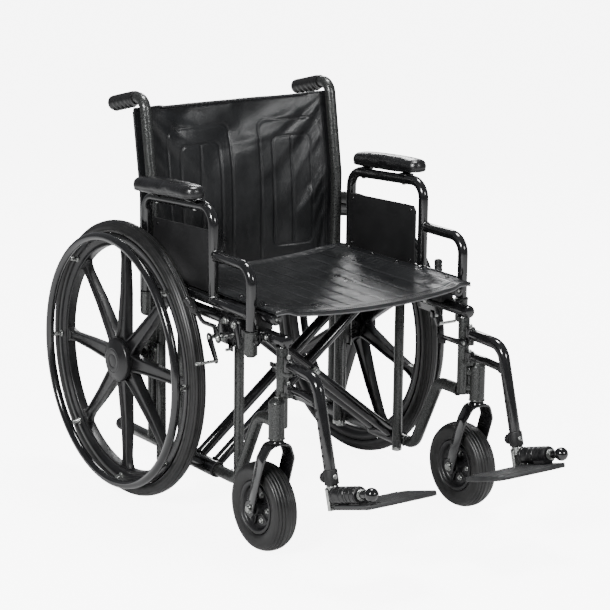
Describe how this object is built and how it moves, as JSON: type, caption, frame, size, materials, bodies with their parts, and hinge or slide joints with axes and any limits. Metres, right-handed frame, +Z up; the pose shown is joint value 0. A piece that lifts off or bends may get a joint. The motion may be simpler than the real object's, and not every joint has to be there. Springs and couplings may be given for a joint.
{
  "type": "wheelchair",
  "caption": "Folding self-propelled wheelchair with cross-braced side frames, spoked rear wheels with handrims, swivelling front casters, desk-length armrests and swing-away footrests",
  "frame": {"origin": "centre of the footprint of the whole chair's bounding box, on the floor", "axes": "+Z up, -Y is the way the occupant faces, +X is the occupant's left"},
  "size_m": [0.7136, 1.138, 0.8811],
  "materials": {
    "hammertone": "hammertone powder coat",
    "black_gloss": "gloss black powder coat",
    "zinc": "zinc plated",
    "plastic": "satin black moulding",
    "rubber": "matte black",
    "vinyl": "black vinyl upholstery"
  },
  "bodies": {
    "frame_right": {"lower_rail_right": "hammertone", "top_rail_right": "black_gloss", "front_post_right": "hammertone", "mid_post_right": "hammertone", "inner_post_right": "hammertone", "axle_post_right": "hammertone", "back_cane_right": "hammertone", "push_grip_right": "rubber", "front_arm_socket_right": "hammertone", "rear_arm_socket_right": "hammertone", "wheel_lock_mount_right": "black_gloss", "back_sling": "vinyl"},
    "frame_left": {"lower_rail_left": "hammertone", "top_rail_left": "black_gloss", "front_post_left": "hammertone", "mid_post_left": "hammertone", "inner_post_left": "hammertone", "axle_post_left": "hammertone", "back_cane_left": "hammertone", "push_grip_left": "rubber", "front_arm_socket_left": "hammertone", "rear_arm_socket_left": "hammertone", "wheel_lock_mount_left": "black_gloss"},
    "brace_a": {"cross_brace_a": "black_gloss", "seat_rail_left": "black_gloss", "seat_sling": "vinyl"},
    "brace_b": {"cross_brace_b": "black_gloss", "seat_rail_right": "black_gloss"},
    "wheel_right": {"rear_wheel_right": "plastic", "rear_tyre_right": "rubber", "handrim_right": "black_gloss"},
    "swivel_right": {"caster_fork_right": "black_gloss"},
    "roller_right": {"caster_wheel_right": "plastic", "caster_tyre_right": "rubber"},
    "hanger_right": {"footrest_hanger_right": "black_gloss"},
    "latch_right": {"footrest_latch_right": "black_gloss"},
    "extension_right": {"footrest_tube_right": "zinc"},
    "sleeve_right": {"footplate_sleeve_right": "plastic"},
    "plate_right": {"footplate_right": "plastic"},
    "armrest_right": {"arm_frame_right": "black_gloss", "arm_pad_right": "vinyl", "skirt_panel_right": "plastic"},
    "lock_lever_right": {"wheel_lock_lever_right": "black_gloss"},
    "lock_shoe_right": {"wheel_lock_shoe_right": "zinc"},
    "wheel_left": {"rear_wheel_left": "plastic", "rear_tyre_left": "rubber", "handrim_left": "black_gloss"},
    "swivel_left": {"caster_fork_left": "black_gloss"},
    "roller_left": {"caster_wheel_left": "plastic", "caster_tyre_left": "rubber"},
    "hanger_left": {"footrest_hanger_left": "black_gloss"},
    "latch_left": {"footrest_latch_left": "black_gloss"},
    "extension_left": {"footrest_tube_left": "zinc"},
    "sleeve_left": {"footplate_sleeve_left": "plastic"},
    "plate_left": {"footplate_left": "plastic"},
    "armrest_left": {"arm_frame_left": "black_gloss", "arm_pad_left": "vinyl", "skirt_panel_left": "plastic"},
    "lock_lever_left": {"wheel_lock_lever_left": "black_gloss"},
    "lock_shoe_left": {"wheel_lock_shoe_left": "zinc"}
  },
  "joints": [
    {"name": "fold", "type": "hinge", "parent": "frame_right", "child": "brace_a", "pos_m": [-0.234, 0.048, 0.107], "axis": [0, -1, 0], "range_deg": [0, 43.8], "deforming": ["seat_sling", "back_sling"]},
    {"name": "fold_centre", "type": "hinge", "parent": "brace_a", "child": "brace_b", "pos_m": [0, 0.048, 0.2965], "axis": [0, -1, 0], "range_deg": [-87.6, 0]},
    {"name": "fold_left_rail", "type": "hinge", "parent": "brace_b", "child": "frame_left", "pos_m": [0.234, 0.048, 0.107], "axis": [0, -1, 0], "range_deg": [0, 43.8]},
    {"name": "wheel_spin_right", "type": "hinge", "parent": "frame_right", "child": "wheel_right", "pos_m": [-0.306, 0.264, 0.305], "axis": [1, 0, 0], "continuous": true},
    {"name": "caster_swivel_right", "type": "hinge", "parent": "frame_right", "child": "swivel_right", "pos_m": [-0.2595, -0.253, 0.249], "axis": [0, 0, 1], "continuous": true},
    {"name": "caster_spin_right", "type": "hinge", "parent": "swivel_right", "child": "roller_right", "pos_m": [-0.2595, -0.21, 0.094], "axis": [1, 0, 0], "continuous": true},
    {"name": "footrest_swing_right", "type": "hinge", "parent": "frame_right", "child": "hanger_right", "pos_m": [-0.234, -0.2565, 0.4], "axis": [0, 0, -1], "range_deg": [0, 90]},
    {"name": "footrest_latch_right", "type": "hinge", "parent": "hanger_right", "child": "latch_right", "pos_m": [-0.218, -0.2565, 0.384], "axis": [1, 0, 0], "range_deg": [0, 80]},
    {"name": "footrest_length_right", "type": "slide", "parent": "hanger_right", "child": "extension_right", "axis": [0, -0.2803, -0.9599], "range_m": [0, 0.06]},
    {"name": "footplate_lift_right", "type": "hinge", "parent": "extension_right", "child": "sleeve_right", "pos_m": [-0.2405, -0.4235, 0.174], "axis": [0, -0.9599, 0.2803], "range_deg": [0, 90]},
    {"name": "footplate_flip_right", "type": "hinge", "parent": "sleeve_right", "child": "plate_right", "pos_m": [-0.2405, -0.4235, 0.174], "axis": [0, 0.9599, -0.2803], "range_deg": [-90, 0]},
    {"name": "armrest_lift_right", "type": "slide", "parent": "frame_right", "child": "armrest_right", "axis": [0, 0, 1], "range_m": [0, 0.12]},
    {"name": "wheel_lock_right", "type": "hinge", "parent": "frame_right", "child": "lock_lever_right", "pos_m": [-0.285, -0.072, 0.423], "axis": [1, 0, 0], "range_deg": [0, 40]},
    {"name": "wheel_lock_shoe_right", "type": "hinge", "parent": "frame_right", "child": "lock_shoe_right", "pos_m": [-0.2895, -0.045, 0.42], "axis": [1, 0, 0], "range_deg": [0, 36]},
    {"name": "wheel_spin_left", "type": "hinge", "parent": "frame_left", "child": "wheel_left", "pos_m": [0.306, 0.264, 0.305], "axis": [1, 0, 0], "continuous": true},
    {"name": "caster_swivel_left", "type": "hinge", "parent": "frame_left", "child": "swivel_left", "pos_m": [0.2595, -0.253, 0.249], "axis": [0, 0, 1], "continuous": true},
    {"name": "caster_spin_left", "type": "hinge", "parent": "swivel_left", "child": "roller_left", "pos_m": [0.2595, -0.21, 0.094], "axis": [1, 0, 0], "continuous": true},
    {"name": "footrest_swing_left", "type": "hinge", "parent": "frame_left", "child": "hanger_left", "pos_m": [0.234, -0.2565, 0.4], "axis": [0, 0, 1], "range_deg": [0, 90]},
    {"name": "footrest_latch_left", "type": "hinge", "parent": "hanger_left", "child": "latch_left", "pos_m": [0.218, -0.2565, 0.384], "axis": [1, 0, 0], "range_deg": [0, 80]},
    {"name": "footrest_length_left", "type": "slide", "parent": "hanger_left", "child": "extension_left", "axis": [0, -0.2803, -0.9599], "range_m": [0, 0.06]},
    {"name": "footplate_lift_left", "type": "hinge", "parent": "extension_left", "child": "sleeve_left", "pos_m": [0.2405, -0.4235, 0.174], "axis": [0, 0.9599, -0.2803], "range_deg": [0, 90]},
    {"name": "footplate_flip_left", "type": "hinge", "parent": "sleeve_left", "child": "plate_left", "pos_m": [0.2405, -0.4235, 0.174], "axis": [0, -0.9599, 0.2803], "range_deg": [-90, 0]},
    {"name": "armrest_lift_left", "type": "slide", "parent": "frame_left", "child": "armrest_left", "axis": [0, 0, 1], "range_m": [0, 0.12]},
    {"name": "wheel_lock_left", "type": "hinge", "parent": "frame_left", "child": "lock_lever_left", "pos_m": [0.285, -0.072, 0.423], "axis": [1, 0, 0], "range_deg": [0, 40]},
    {"name": "wheel_lock_shoe_left", "type": "hinge", "parent": "frame_left", "child": "lock_shoe_left", "pos_m": [0.2895, -0.045, 0.42], "axis": [1, 0, 0], "range_deg": [0, 36]}
  ],
  "couplings": [
    {"joint": "fold_centre", "follows": "fold", "ratio": -2},
    {"joint": "fold_left_rail", "follows": "fold", "ratio": 1},
    {"joint": "footplate_lift_right", "follows": "fold", "ratio": 2.054},
    {"joint": "wheel_lock_shoe_right", "follows": "wheel_lock_right", "ratio": 0.9},
    {"joint": "footplate_lift_left", "follows": "fold", "ratio": 2.054},
    {"joint": "wheel_lock_shoe_left", "follows": "wheel_lock_left", "ratio": 0.9}
  ]
}
